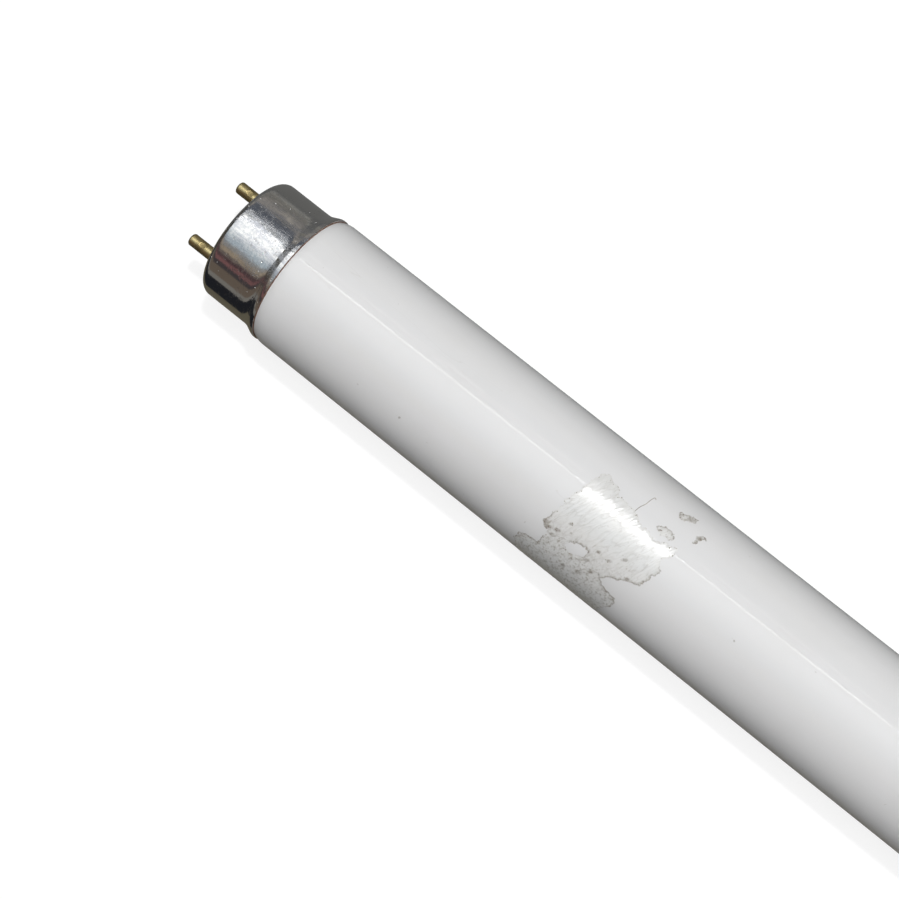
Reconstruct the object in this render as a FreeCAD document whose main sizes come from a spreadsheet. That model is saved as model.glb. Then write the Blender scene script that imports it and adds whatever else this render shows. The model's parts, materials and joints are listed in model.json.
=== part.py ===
import FreeCAD, Part
import math
import os
import Sketcher

# Straight fluorescent tube, 26 mm glass with a two-pin cap at each end. Millimetres.
# The tube lies along X with its middle at the origin. Each cap is built in a frame of its own,
# with the origin at the middle of the cap's face and X pointing into the tube.

# Each driving size: name, value, meaning.
SIZES = (
    ("face_to_face", 894.6, "from cap face to cap face, without the pins"),
    ("glass_diameter", 26.0, "outside of the glass barrel"),
    ("cap_inset", 0.95, "how far the cap's wall lies inside the line of the barrel"),
    ("rim_inset", 0.05, "how far the cap's rim lies inside the line of the barrel"),
    ("cap_length", 13.2, "from the cap's face to its rim"),
    ("cap_wall", 0.3, "sheet of the cap"),
    ("corner_radius", 1.6, "outer corner of the cap's face"),
    ("flare_length", 2.0, "sloped part of the flare"),
    ("flare_radius", 3.0, "hollow bend where the flare starts"),
    ("lip_length", 0.55, "straight lip at the rim"),
    ("lip_radius", 1.3, "round bend from flare to lip"),
    ("seat_width", 1.1, "ring of the cap's face that holds the pin plate"),
    ("plate_thickness", 1.5, "pin plate behind the cap's face"),
    ("plate_recess", 0.1, "pin plate's front below the cap's face"),
    ("plate_clearance", 0.05, "pin plate in the opening of the cap"),
    ("plate_hold", 0.4, "how far the cement grips over the pin plate's edge"),
    ("cement_gap", 0.7, "cement between cap and glass neck"),
    ("rim_gap", 0.08, "cement between rim and glass"),
    ("cement_bead", 0.16, "cement that stands out past the rim"),
    ("neck_setback", 4.6, "from the cap's face to the end of the glass"),
    ("neck_edge", 0.6, "fire-polished edge of the neck"),
    ("neck_radius", 2.5, "hollow bend from neck to shoulder"),
    ("shoulder_angle", 27, "slope of the shoulder, in degrees"),
    ("shoulder_radius", 4.5, "round bend from shoulder to barrel"),
    ("funnel_wall", 1.6, "glass left at the mouth of the stem's funnel"),
    ("funnel_depth", 11.4, "depth of the stem's funnel"),
    ("press_diameter", 8.4, "bottom of the stem's funnel"),
    ("exhaust_diameter", 4.0, "sealed-off exhaust tube in the funnel"),
    ("exhaust_length", 9.0, "height of the exhaust tube over the funnel's bottom"),
    ("exhaust_tip_radius", 0.9, "round tip of the exhaust tube"),
    ("pin_spacing", 12.7, "between the middles of the two pins"),
    ("pin_diameter", 2.35, "contact pin"),
    ("pin_length", 7.1, "from the cap's face to the tip of the pin"),
    ("pin_tip_radius", 0.5, "round edge of the pin's tip"),
    ("pin_tip_wall", 0.9, "closed end of the hollow pin"),
    ("pin_bore", 1.2, "bore of the hollow pin"),
    ("shank_diameter", 1.9, "thinner shank of the pin, in the plate"),
    ("shank_clearance", 0.02, "shank in its hole"),
    ("collar_width", 0.5, "collar of the pin in front of the plate, beyond the pin"),
    ("collar_thickness", 0.4, "thickness of that collar"),
    ("rivet_width", 0.9, "riveted foot of the pin behind the plate, beyond the shank"),
    ("rivet_thickness", 0.6, "thickness of that foot"),
    ("crimp_place", 4.3, "from the cap's face to the crimp that grips the wire"),
    ("crimp_radius", 2.2, "round of the crimping tool"),
    ("crimp_depth", 0.12, "depth of the crimp"),
    ("wire_diameter", 0.5, "lead wire"),
    ("wire_bend_radius", 2.0, "bends of the lead wire"),
    ("wire_end_gap", 0.2, "from the end of the wire to the end of the bore"),
)

# Shared derived sizes, all measured in the frame of a cap.
BARREL_R = "Sizes.glass_diameter / 2"
CAP_R = f"({BARREL_R} - Sizes.cap_inset)"
RIM_R = f"({BARREL_R} - Sizes.rim_inset)"
NECK_R = f"({CAP_R} - Sizes.cap_wall - Sizes.cement_gap)"
GLASS_AT_RIM_R = f"({RIM_R} - Sizes.cap_wall - Sizes.rim_gap)"
SHOULDER_RISE = "tan(Sizes.shoulder_angle * 1deg)"
LIP_X = "(Sizes.cap_length - Sizes.lip_length)"
FLARE_X = f"({LIP_X} - Sizes.flare_length)"
SEAT_R = f"({CAP_R} - Sizes.corner_radius)"
OPENING_R = f"({SEAT_R} - Sizes.seat_width)"
PLATE_BACK_X = "(Sizes.cap_wall + Sizes.plate_thickness)"
FUNNEL_X = "(Sizes.neck_setback + Sizes.funnel_depth)"
PIN_R = "Sizes.pin_diameter / 2"
SHANK_R = "Sizes.shank_diameter / 2"
HALF_SPACING = "Sizes.pin_spacing / 2"
PIN_BORE_END_X = "(Sizes.pin_tip_wall - Sizes.pin_length)"

# Which way the ends of the tube and the pins of a cap lie.
ENDS = (("left", -1), ("right", 1))
PINS = (("front", -1), ("back", 1))

TOLERANCE = 1e-4

doc = FreeCAD.newDocument("FluorescentTube")


def make_sheet():
    """Put the driving sizes into a spreadsheet, one alias each."""
    new_sheet = doc.addObject("Spreadsheet::Sheet", "Sizes")
    for row, (name, value, meaning) in enumerate(SIZES, start=1):
        new_sheet.set(f"A{row}", meaning)
        new_sheet.set(f"B{row}", str(value))
        new_sheet.setAlias(f"B{row}", name)
    doc.recompute()
    return new_sheet


def size(expression):
    """Value of an expression over the spreadsheet, in millimetres."""
    value = sheet.evalExpression(expression)
    return float(getattr(value, "Value", value))


def new_body(label):
    body = doc.addObject("PartDesign::Body", label)
    body.Label = label
    return body


def origin_plane(body, role):
    return next(item for item in body.Origin.OriginFeatures if item.Role == role)


def new_sketch(body, name, plane_role):
    """Empty sketch on one of the body's own origin planes."""
    sketch = body.newObject("Sketcher::SketchObject", name)
    sketch.AttachmentSupport = [(origin_plane(body, plane_role), "")]
    sketch.MapMode = "FlatFace"
    return sketch


def bind(sketch, kind, references, expression):
    """Add one dimension to a sketch and tie it to the spreadsheet."""
    index = sketch.addConstraint(Sketcher.Constraint(kind, *references, size(expression)))
    sketch.setExpression(f"Constraints[{index}]", expression)


def draw_frame(sketch, corners, places):
    """Draw the construction lines from corner to corner and tie every corner down."""
    count = len(places)
    for start, end in zip(places, places[1:] + places[:1]):
        sketch.addGeometry(Part.LineSegment(start, end), True)
    for line, corner in enumerate(corners):
        sketch.addConstraint(Sketcher.Constraint("Coincident", (line - 1) % count, 2, line, 1))
        bind(sketch, "DistanceX", (-1, 1, line, 1), corner[0])
        bind(sketch, "DistanceY", (-1, 1, line, 1), corner[1])


def draw_bend(sketch, place, neighbours, lines, radius):
    """Draw the arc that rounds a corner, tangent to the construction lines on both sides."""
    before, after = [(neighbour - place).normalize() for neighbour in neighbours]
    half_angle = before.getAngle(after) / 2
    reach = size(radius) / math.tan(half_angle)
    centre = place + (before + after).normalize() * (size(radius) / math.sin(half_angle))
    middle = centre + (place - centre).normalize() * size(radius)
    start = place + before * reach
    arc = sketch.addGeometry(Part.Arc(start, middle, place + after * reach))
    ends = (1, 2) if sketch.getPoint(arc, 1).isEqual(start, TOLERANCE) else (2, 1)
    for end, line in zip(ends, lines):
        sketch.addConstraint(Sketcher.Constraint("Tangent", arc, end, line))
    bind(sketch, "Radius", (arc,), radius)
    return [(arc, end) for end in ends]


def draw_outline(sketch, corners, closed=True):
    """Draw runs between corners, each (across, up) or (across, up, bend radius) expressions."""
    places = [FreeCAD.Vector(size(corner[0]), size(corner[1]), 0) for corner in corners]
    count = len(corners)
    draw_frame(sketch, corners, places)
    arrivals = []
    departures = []
    for index, corner in enumerate(corners):
        arrival = departure = (index, 1)
        if len(corner) == 3:
            neighbours = (places[index - 1], places[(index + 1) % count])
            lines = ((index - 1) % count, index)
            arrival, departure = draw_bend(sketch, places[index], neighbours, lines, corner[2])
        arrivals.append(arrival)
        departures.append(departure)
    for index in range(count if closed else count - 1):
        start = departures[index]
        end = arrivals[(index + 1) % count]
        run = sketch.addGeometry(Part.LineSegment(sketch.getPoint(*start), sketch.getPoint(*end)))
        sketch.addConstraint(Sketcher.Constraint("Coincident", run, 1, *start))
        sketch.addConstraint(Sketcher.Constraint("Coincident", run, 2, *end))


def draw_circle(sketch, centre, radius):
    """Draw a circle from expressions for its centre and radius."""
    across, up = centre
    place = FreeCAD.Vector(size(across), size(up), 0)
    circle = sketch.addGeometry(Part.Circle(place, FreeCAD.Vector(0, 0, 1), size(radius)))
    bind(sketch, "DistanceX", (-1, 1, circle, 3), across)
    bind(sketch, "DistanceY", (-1, 1, circle, 3), up)
    bind(sketch, "Radius", (circle,), radius)


def revolve(body, name, corners):
    """Turn a closed outline of (along X, radius) corners about X."""
    sketch = new_sketch(body, f"{name}_outline", "XY_Plane")
    draw_outline(sketch, corners)
    turned = body.newObject("PartDesign::Revolution", name)
    turned.Profile = sketch
    turned.ReferenceAxis = (sketch, ["H_Axis"])
    turned.Angle = 360
    doc.recompute()
    return turned


def cut_through(body, name, sketch):
    """Cut a sketch right through the body, both ways from its plane."""
    before = body.Shape.Volume
    pocket = body.newObject("PartDesign::Pocket", name)
    pocket.Profile = sketch
    pocket.Type = "ThroughAll"
    pocket.SideType = "Symmetric"
    doc.recompute()
    if body.Shape.Volume >= before:
        raise RuntimeError(f"{name} cuts nothing")


def place_at_end(piece, end_sign, across="0"):
    """Put a piece made in a cap's frame on one end of the tube, moved across along Y."""
    half_turn = FreeCAD.Rotation(FreeCAD.Vector(0, 0, 1), 180)
    turn = half_turn if end_sign > 0 else FreeCAD.Rotation()
    piece.Placement = FreeCAD.Placement(FreeCAD.Vector(), turn)
    piece.setExpression("Placement.Base.x", f"{end_sign} * Sizes.face_to_face / 2")
    piece.setExpression("Placement.Base.y", across)
    doc.recompute()


def make_glass():
    """Sealed glass: barrel, shoulders and necks, with the funnel of a stem in each end."""
    body = new_body("glass_tube")
    end_x = "-Sizes.face_to_face / 2"
    rim_x = f"({end_x} + Sizes.cap_length)"
    neck_x = f"({end_x} + Sizes.neck_setback)"
    shoulder_x = f"({rim_x} - ({GLASS_AT_RIM_R} - {NECK_R}) / {SHOULDER_RISE})"
    barrel_x = f"({rim_x} + ({BARREL_R} - {GLASS_AT_RIM_R}) / {SHOULDER_RISE})"
    funnel_x = f"({end_x} + {FUNNEL_X})"
    tip_x = f"({funnel_x} - Sizes.exhaust_length)"
    exhaust_r = "Sizes.exhaust_diameter / 2"
    mouth_r = f"({NECK_R} - Sizes.funnel_wall)"
    revolve(body, "half_tube", (
        ("0", "0"),
        (tip_x, "0"),
        (tip_x, exhaust_r, "Sizes.exhaust_tip_radius"),
        (funnel_x, exhaust_r),
        (funnel_x, "Sizes.press_diameter / 2"),
        (neck_x, mouth_r, "Sizes.neck_edge"),
        (neck_x, NECK_R, "Sizes.neck_edge"),
        (shoulder_x, NECK_R, "Sizes.neck_radius"),
        (barrel_x, BARREL_R, "Sizes.shoulder_radius"),
        ("0", BARREL_R),
    ))
    whole = body.newObject("PartDesign::Mirrored", "both_halves")
    whole.TransformMode = "Whole shape"
    whole.MirrorPlane = (origin_plane(body, "YZ_Plane"), [""])
    body.Tip = whole
    doc.recompute()
    return body


def make_shell(label):
    """Drawn sheet cap: a cup with a rounded face corner, a flared rim and an open face."""
    body = new_body(label)
    cup = revolve(body, "cup", (
        ("0", "0"),
        ("0", CAP_R, "Sizes.corner_radius"),
        (FLARE_X, CAP_R, "Sizes.flare_radius"),
        (LIP_X, RIM_R, "Sizes.lip_radius"),
        ("Sizes.cap_length", RIM_R),
        ("Sizes.cap_length", "0"),
    ))
    faces = cup.Shape.Faces
    mouth = max(range(len(faces)), key=lambda index: faces[index].CenterOfMass.x)
    sheet_cup = body.newObject("PartDesign::Thickness", "sheet_cup")
    sheet_cup.Base = (cup, [f"Face{mouth + 1}"])
    sheet_cup.Reversed = True
    sheet_cup.setExpression("Value", "Sizes.cap_wall")
    doc.recompute()
    opening = new_sketch(body, "opening_outline", "YZ_Plane")
    draw_circle(opening, ("0", "0"), OPENING_R)
    cut_through(body, "opening", opening)
    return body


def make_plate(label):
    """Insulating disc: a flange behind the cap's face and a boss that fills its opening."""
    body = new_body(label)
    boss_r = f"({OPENING_R} - Sizes.plate_clearance)"
    revolve(body, "disc", (
        ("Sizes.plate_recess", "0"),
        ("Sizes.plate_recess", boss_r),
        ("Sizes.cap_wall", boss_r),
        ("Sizes.cap_wall", SEAT_R),
        (PLATE_BACK_X, SEAT_R),
        (PLATE_BACK_X, "0"),
    ))
    holes = new_sketch(body, "pin_holes_outline", "YZ_Plane")
    for _, side in PINS:
        draw_circle(holes, (f"{side} * {HALF_SPACING}", "0"), f"{SHANK_R} + Sizes.shank_clearance")
    cut_through(body, "pin_holes", holes)
    return body


def make_pin(label):
    """Hollow contact pin, riveted in the plate and crimped on its lead wire."""
    body = new_body(label)
    tip_x = "-Sizes.pin_length"
    collar_x = "(Sizes.plate_recess - Sizes.collar_thickness)"
    foot_x = f"({PLATE_BACK_X} + Sizes.rivet_thickness)"
    bore_r = "Sizes.pin_bore / 2"
    collar_r = f"({PIN_R} + Sizes.collar_width)"
    rivet_r = f"({SHANK_R} + Sizes.rivet_width)"
    revolve(body, "pin", (
        (tip_x, "0"),
        (tip_x, PIN_R, "Sizes.pin_tip_radius"),
        (collar_x, PIN_R),
        (collar_x, collar_r),
        ("Sizes.plate_recess", collar_r),
        ("Sizes.plate_recess", SHANK_R),
        (PLATE_BACK_X, SHANK_R),
        (PLATE_BACK_X, rivet_r),
        (foot_x, rivet_r),
        (foot_x, bore_r),
        (PIN_BORE_END_X, bore_r),
        (PIN_BORE_END_X, "0"),
    ))
    tool = new_sketch(body, "crimp_outline", "XZ_Plane")
    tool_height = f"({PIN_R} + Sizes.crimp_radius - Sizes.crimp_depth)"
    draw_circle(tool, ("-Sizes.crimp_place", tool_height), "Sizes.crimp_radius")
    cut_through(body, "crimp", tool)
    return body


def make_wire(label, side):
    """Lead wire, in the cap's frame: from the stem's press, across, and into the pin."""
    body = new_body(label)
    start_y = f"{side} * (Sizes.press_diameter + Sizes.exhaust_diameter) / 4"
    pin_y = f"{side} * {HALF_SPACING}"
    path = new_sketch(body, "path", "XY_Plane")
    draw_outline(path, (
        (FUNNEL_X, start_y),
        (f"(Sizes.neck_setback + {FUNNEL_X}) / 2", start_y, "Sizes.wire_bend_radius"),
        ("Sizes.neck_setback", pin_y, "Sizes.wire_bend_radius"),
        (f"({PIN_BORE_END_X} + Sizes.wire_end_gap)", pin_y),
    ), closed=False)
    section = new_sketch(body, "section", "YZ_Plane")
    section.setExpression("AttachmentOffset.Base.z", FUNNEL_X)
    draw_circle(section, (start_y, "0"), "Sizes.wire_diameter / 2")
    doc.recompute()
    wire = body.newObject("PartDesign::AdditivePipe", "wire")
    wire.Profile = section
    wire.Spine = (path, [f"Edge{number + 1}" for number in range(len(path.Shape.Edges))])
    doc.recompute()
    return body


def make_cement(label, shell, glass, end_sign):
    """Cement: a ring that fills what the cap's wall and the glass neck leave, with a bead."""
    blank = new_body(f"{label}_blank")
    core_r = f"({SEAT_R} - Sizes.plate_hold)"
    wall_middle_r = f"({CAP_R} - Sizes.cap_wall / 2)"
    rim_middle_r = f"({RIM_R} - Sizes.cap_wall / 2)"
    bead_r = f"({GLASS_AT_RIM_R} + Sizes.cement_bead * {SHOULDER_RISE})"
    revolve(blank, "ring", (
        (PLATE_BACK_X, core_r),
        (PLATE_BACK_X, wall_middle_r),
        (FLARE_X, wall_middle_r),
        (LIP_X, rim_middle_r),
        ("Sizes.cap_length", rim_middle_r),
        ("Sizes.cap_length + Sizes.cement_bead", bead_r),
        ("Sizes.cap_length", core_r),
    ))
    place_at_end(blank, end_sign)
    in_shell = doc.addObject("Part::Cut", f"{label}_in_shell")
    in_shell.Base = blank
    in_shell.Tool = shell
    ring = doc.addObject("Part::Cut", label)
    ring.Label = label
    ring.Base = in_shell
    ring.Tool = glass
    doc.recompute()
    return ring


def make_end(end, end_sign, glass):
    """All the pieces of one cap, set on its end of the tube."""
    shell = make_shell(f"{end}_cap_shell")
    plate = make_plate(f"{end}_pin_plate")
    place_at_end(shell, end_sign)
    place_at_end(plate, end_sign)
    pieces = [shell, plate, make_cement(f"{end}_cement_ring", shell, glass, end_sign)]
    for position, side in PINS:
        pin = make_pin(f"{end}_{position}_pin")
        place_at_end(pin, end_sign, f"{side} * {HALF_SPACING}")
        # The right cap is turned half round, so its wires are drawn on the other side.
        wire = make_wire(f"{end}_{position}_lead_wire", -side * end_sign)
        place_at_end(wire, end_sign)
        pieces += [pin, wire]
    return pieces


def check_document():
    """Stop on any object that failed to build."""
    for item in doc.Objects:
        if "Invalid" in item.State or "Error" in item.State:
            raise RuntimeError(f"{item.Label} failed: {item.State}")


def write_parts(pieces):
    """Check each sub-part and write it to its own file."""
    for piece in pieces:
        shape = piece.Shape
        if shape.isNull() or not shape.isValid() or len(shape.Solids) != 1:
            raise RuntimeError(f"{piece.Label} isn't one valid solid")
    os.makedirs("parts", exist_ok=True)
    for piece in pieces:
        piece.Shape.exportStep(f"parts/{piece.Label}.step")
        print(f"{piece.Label}: {piece.Shape.Volume:.2f} mm3")


sheet = make_sheet()
tube = make_glass()
sub_parts = [tube]
for end_name, sign in ENDS:
    sub_parts += make_end(end_name, sign, tube)
doc.recompute()
check_document()
write_parts(sub_parts)
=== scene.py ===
import json
import math

import bpy
import numpy as np
from mathutils import Matrix, Vector, noise

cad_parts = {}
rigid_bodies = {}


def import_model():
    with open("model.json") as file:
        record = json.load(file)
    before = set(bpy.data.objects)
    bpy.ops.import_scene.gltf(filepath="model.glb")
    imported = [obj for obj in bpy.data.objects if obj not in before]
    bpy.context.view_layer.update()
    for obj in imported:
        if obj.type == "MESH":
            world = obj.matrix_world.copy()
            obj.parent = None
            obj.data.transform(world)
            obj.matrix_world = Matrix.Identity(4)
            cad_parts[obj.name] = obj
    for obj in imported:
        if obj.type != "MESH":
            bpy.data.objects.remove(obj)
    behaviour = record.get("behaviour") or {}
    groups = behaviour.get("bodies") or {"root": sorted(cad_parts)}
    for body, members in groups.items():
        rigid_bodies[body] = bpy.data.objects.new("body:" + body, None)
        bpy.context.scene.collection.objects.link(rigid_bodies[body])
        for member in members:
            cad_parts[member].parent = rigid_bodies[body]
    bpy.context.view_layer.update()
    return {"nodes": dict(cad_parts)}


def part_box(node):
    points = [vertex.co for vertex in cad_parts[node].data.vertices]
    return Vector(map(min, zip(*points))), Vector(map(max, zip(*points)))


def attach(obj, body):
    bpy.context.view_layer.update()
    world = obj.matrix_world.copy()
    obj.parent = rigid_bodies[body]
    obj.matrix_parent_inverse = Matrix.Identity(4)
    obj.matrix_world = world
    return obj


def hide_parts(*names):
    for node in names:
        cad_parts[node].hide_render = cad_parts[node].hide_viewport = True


# Looks of a straight fluorescent tube: glass with a white coat, plated caps, brass pins, and the torn
# remains of a clear film on the glass. Metres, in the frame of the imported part: the tube lies along X,
# its photographed end is at -X, +Z is up and +Y is the back.

MM = 0.001
# Sockets of a node that mixes colours.
MIX_SHARE = 0
MIX_FIRST = 6
MIX_SECOND = 7
MIX_RESULT = 2

# Camera, fitted to both edges of the tube in the photograph.
PHOTO_SIDE = 899
PIXEL = 0.1757 * MM
FOCAL_PIXELS = 3270
SENSOR_WIDTH = 36
CAMERA_PLACE = Vector((-0.26112, -0.12109, 0.53602))
CAMERA_AIM = Vector((-0.39370, -0.00716, 0.0))
TUBE_FALL = math.radians(38.54)
CAMERA_NEAR = 0.01

# Glass: corners of its outline, from the cap's face inwards, as in the part's own source.
GLASS_R = 13.0 * MM
NECK_SETBACK = 4.6 * MM
NECK_R = 11.05 * MM
NECK_EDGE = 0.6 * MM
NECK_BEND = 2.5 * MM
MOUTH_R = 9.45 * MM
FUNNEL_DEPTH = 11.4 * MM
PRESS_R = 4.2 * MM
EXHAUST_R = 2.0 * MM
EXHAUST_LENGTH = 9.0 * MM
EXHAUST_BEND = 0.9 * MM
SHOULDER_START = 10.217 * MM
SHOULDER_END = 14.044 * MM
SHOULDER_BEND = 4.5 * MM
BARREL_GUARDS = (16.0 * MM, 40.0 * MM)
GLASS_FACETS = 192
GLASS_BEND_STEPS = 8
MERGE_GAP = 1e-6
# Where the pins are crimped, along X from the middle of the tube, and how far from there the brass is
# darkened, as dirt and painted shade in the dent.
CRIMP_X = 451.6 * MM
CRIMP_DIRT_AND_SHADE = (0.4 * MM, 1.0 * MM)
# Heights over the tube's axis between which the plating gets dull from handling, and gets dusty.
CAP_HANDLED = (8.2 * MM, 11.4 * MM)
CAP_DUSTY = (6.5 * MM, 8.5 * MM)

# Torn film on the glass, as points of the photograph, clockwise. Points past the tube's lower edge
# carry the film on round its underside.
FILM_OUTLINE = (
    (591, 480), (600, 475), (608, 473), (612, 481), (621, 490), (619, 497), (630, 505), (635, 512),
    (642, 526), (649, 534), (657, 541), (672, 546), (678, 551), (671, 557), (661, 558), (660, 571),
    (645, 582), (635, 586), (628, 582), (607, 577), (600, 578), (605, 588), (617, 601), (609, 606),
    (597, 608), (588, 613), (560, 594), (532, 572), (517, 551), (515, 537), (522, 533), (528, 536),
    (538, 541), (542, 536), (549, 534), (546, 529), (544, 523), (546, 518), (552, 512), (559, 508),
    (567, 502), (576, 492),
)
FILM_HOLE = (
    (563, 543), (573, 541), (583, 546), (588, 551), (583, 557), (573, 555), (566, 550),
)
FILM_BITS = (
    ((677, 513), (682, 512), (684, 516), (693, 517), (699, 521), (695, 524), (687, 521), (681, 520)),
    ((692, 542), (696, 538), (704, 535), (707, 540), (702, 541), (697, 543), (693, 545)),
    ((655, 527), (662, 524), (667, 529), (673, 534), (676, 541), (669, 540), (660, 533)),
)
THREAD_PATH = ((635, 511), (640, 507), (646, 504), (651, 500), (655, 498), (656, 500))
# Dirt held by the film: places in the photograph, each with its reach in pixels.
SOIL_SPOTS = (
    (546, 521, 3.0), (549, 527, 4.0), (557, 530, 3.5), (552, 534, 2.5), (563, 565, 3.0), (578, 572, 3.5),
    (586, 560, 3.0), (609, 561, 2.5), (625, 560, 2.5), (603, 583, 3.0), (606, 591, 3.0), (614, 600, 4.0),
    (627, 579, 2.5), (635, 585, 4.0), (644, 582, 2.5), (692, 520, 4.5), (675, 547, 2.5), (700, 539, 3.5),
    (598, 552, 2.5), (571, 524, 2.0), (590, 572, 3.0), (538, 541, 2.0), (660, 530, 1.6), (570, 549, 2.0),
    (667, 537, 1.5), (672, 543, 1.6),
)
# Edges of the film that hold most dirt, and dirty creases in it, as runs of places in the photograph.
SOILED_EDGES = (
    ((515, 537), (522, 533), (530, 537), (538, 541)),
    ((544, 528), (545, 520), (552, 512)),
    ((572, 541), (583, 546), (589, 552)),
    ((600, 578), (605, 588), (611, 595), (617, 601), (611, 606)),
    ((607, 577), (622, 580), (634, 586), (645, 582), (659, 572)),
    ((677, 513), (684, 517), (693, 518), (699, 521)),
    ((677, 540), (688, 544), (697, 543), (706, 537)),
    ((656, 528), (665, 526), (673, 534), (676, 541)),
)
SOILED_CREASES = (
    ((549, 534), (558, 536), (568, 540), (580, 545)),
    ((572, 557), (580, 563), (586, 569), (597, 572), (602, 579)),
    ((575, 569), (583, 572), (590, 575)),
)
SOILED_EDGE_REACH = 0.8 * MM
SOILED_CREASE_REACH = 0.11 * MM

TINY = 1e-12
FILM_CELL = 0.16 * MM
FILM_BORDER = 1.5 * MM
FILM_BASE = 0.004 * MM
FILM_THICKNESS = 0.02 * MM
FILM_LIP = 0.003 * MM
FILM_EDGE_WIDTH = 0.2 * MM
WRINKLE_HEIGHT = 0.03 * MM
WRINKLE_LENGTH = 2.6 * MM
WRINKLE_WIDTH = 0.75 * MM
WRINKLE_LEAN = 1.15
WRINKLE_SHARPNESS = 3.0
WRINKLE_SEED = 1.3
PUCKER_LENGTH = 0.9 * MM
PUCKER_WIDTH = 0.5 * MM
PUCKER_LEAN = 0.4
PUCKER_SHARE = 0.5
PUCKER_SEED = 5.2
# Wander of the tear, coarse to fine: its size, how far it goes, and whether it is smooth or jagged.
TEAR_SIZES = (
    (1.6 * MM, 0.4 * MM, "PERLIN_ORIGINAL"),
    (1.1 * MM, 0.4 * MM, "VORONOI_F2F1"),
    (0.5 * MM, 0.22 * MM, "VORONOI_F2F1"),
)
TEAR_SEEDS = (3.1, 7.7)
UNDERSIDE_STRETCH = 2.5
# Fine strokes in the film: how far they lean from straight round the glass, and their length to width.
STROKE_LEAN = math.radians(22.0)
STROKE_STRETCH = 4.5
# Spots of dirt on the film: how far they lean from straight along the tube, and their length to width.
SOIL_LEAN = math.radians(27.0)
SOIL_STRETCH = 1.8
SOIL_REACH = 0.62
SOIL_GRAIN = 0.5 * MM
SOIL_SEED = 9.4
SPOT_COVER = 0.95
CREASE_COVER = 0.6
# Heights over the tube's axis between which the film's dark marks grow stronger towards the bottom, as dirt
# and painted shade, and then gritty on its underside.
FILM_DIRT_AND_SHADE = (12.6 * MM, 9.5 * MM)
FILM_GRITTY = (11.5 * MM, 7.5 * MM)
CRUMBS_PER_AREA = 7e6
CRUMB_SMALLEST = 0.04 * MM
CRUMB_LARGEST = 0.15 * MM
CRUMB_WIDTHS = (0.4, 1.0)
CRUMB_HEIGHT = 0.45
CRUMB_SEED = 4
CRUMB_WIDTH_SEED = 5
CRUMB_TURN_SEED = 9
THREAD_R = 0.05 * MM
THREAD_LIFT = 0.02 * MM
THREAD_FACETS = 8

# Studio. Cards stand in a ring round the tube, seen only in the gloss of glass and metal.
# Each has its edges in degrees round the tube from straight up, plus to the back, and a colour.
RING_R = 2.6
RING_REACH = 5.5
RING_STEPS = 4
RING_CARDS = (
    ("card_brown", -91, -83, (0.145, 0.115, 0.092)),
    ("card_shade_low", -83, -74, (0.06, 0.052, 0.055)),
    ("card_red", -74, -67, (0.215, 0.105, 0.105)),
    ("card_shade_high", -67, -60, (0.075, 0.045, 0.05)),
    ("card_shade_warm", -60, -55, (0.15, 0.125, 0.115)),
    ("card_tan", -55, -46, (0.39, 0.315, 0.23)),
    ("card_grey_edge", -46, -38, (0.29, 0.285, 0.28)),
    ("softbox_cool", -38, -26, (0.52, 0.6, 0.66)),
    ("softbox_side", -26, -16, (0.95, 1.0, 1.03)),
    ("softbox_middle", -16, 8, (1.5, 1.52, 1.53)),
    ("softbox_back", 8, 10.8, (1.1, 1.1, 1.1)),
    ("softbox_strip", 10.8, 13.2, (4.4, 4.4, 4.4)),
    ("softbox_fade", 13.2, 22, (0.6, 0.62, 0.63)),
    ("card_blue_edge", 22, 25.5, (0.115, 0.128, 0.155)),
    ("thin_strip", 25.5, 26.9, (2.6, 2.6, 2.6)),
    ("card_blue", 26.9, 46, (0.115, 0.128, 0.155)),
    ("card_seam", 46, 49, (0.19, 0.185, 0.18)),
    ("card_pale", 49, 66, (0.36, 0.335, 0.31)),
    ("card_dun", 66, 82, (0.225, 0.215, 0.195)),
    ("card_light", 82, 89, (0.31, 0.305, 0.285)),
    ("card_back", 89, 91, (0.2, 0.2, 0.195)),
)
# Cards that lie on the floor beside the tube: edges along Y and a colour.
FLOOR_CARDS = (
    ("floor_card_brown", -2.7, -0.1, (0.145, 0.115, 0.092)),
    ("floor_card_grey", -0.1, -0.056, (0.205, 0.195, 0.18)),
    ("floor_card_black", -0.056, -0.0225, (0.016, 0.017, 0.021)),
    ("floor_card_olive", -0.0225, 0.0, (0.12, 0.108, 0.078)),
    ("floor_card_back", 0.0, 2.7, (0.15, 0.15, 0.147)),
)
FLOOR_CARD_LIFT = 0.2 * MM
END_CARD_COLOUR = (0.05, 0.047, 0.038)
FLOOR_SIDE = 12.0
FLOOR_ALBEDO = 0.22
FLOOR_GLOW = 0.84
FLOOR_GLOW_RISE = (0.5, 1.5)
FLOOR_GLOW_NARROWING = (0.5, 1.0, 1.0)
SKY_STRENGTH = 0.06
WHITE = (1.0, 1.0, 1.0)

# Lamps above the tube, one compact and one large and soft, and weak soft ones low at the back and front.
LAMP_PLACE = (-0.2, 0.143, 1.995)
LAMP_DISC = 0.12
LAMP_POWER = 19.0
SOFT_PLACE = (-0.1, -0.1, 2.3)
SOFT_SIDE = 1.1
SOFT_POWER = 19.5
FILL_SIDE = 1.2
BACK_PLACE = (-0.1, 1.9, 0.4)
BACK_POWER = 4.5
FRONT_PLACE = (-0.1, -1.6, 1.1)
FRONT_POWER = 3.8


def clear_scene():
    for thing in list(bpy.data.objects):
        bpy.data.objects.remove(thing, do_unlink=True)


def add_piece(name, mesh):
    """Put a finished mesh into the scene, at the origin."""
    piece = bpy.data.objects.new(name, mesh)
    bpy.context.scene.collection.objects.link(piece)
    return piece


def new_mesh(name, points, faces, edges=()):
    mesh = bpy.data.meshes.new(name)
    mesh.from_pydata(points, edges, faces)
    mesh.update()
    return mesh


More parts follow.
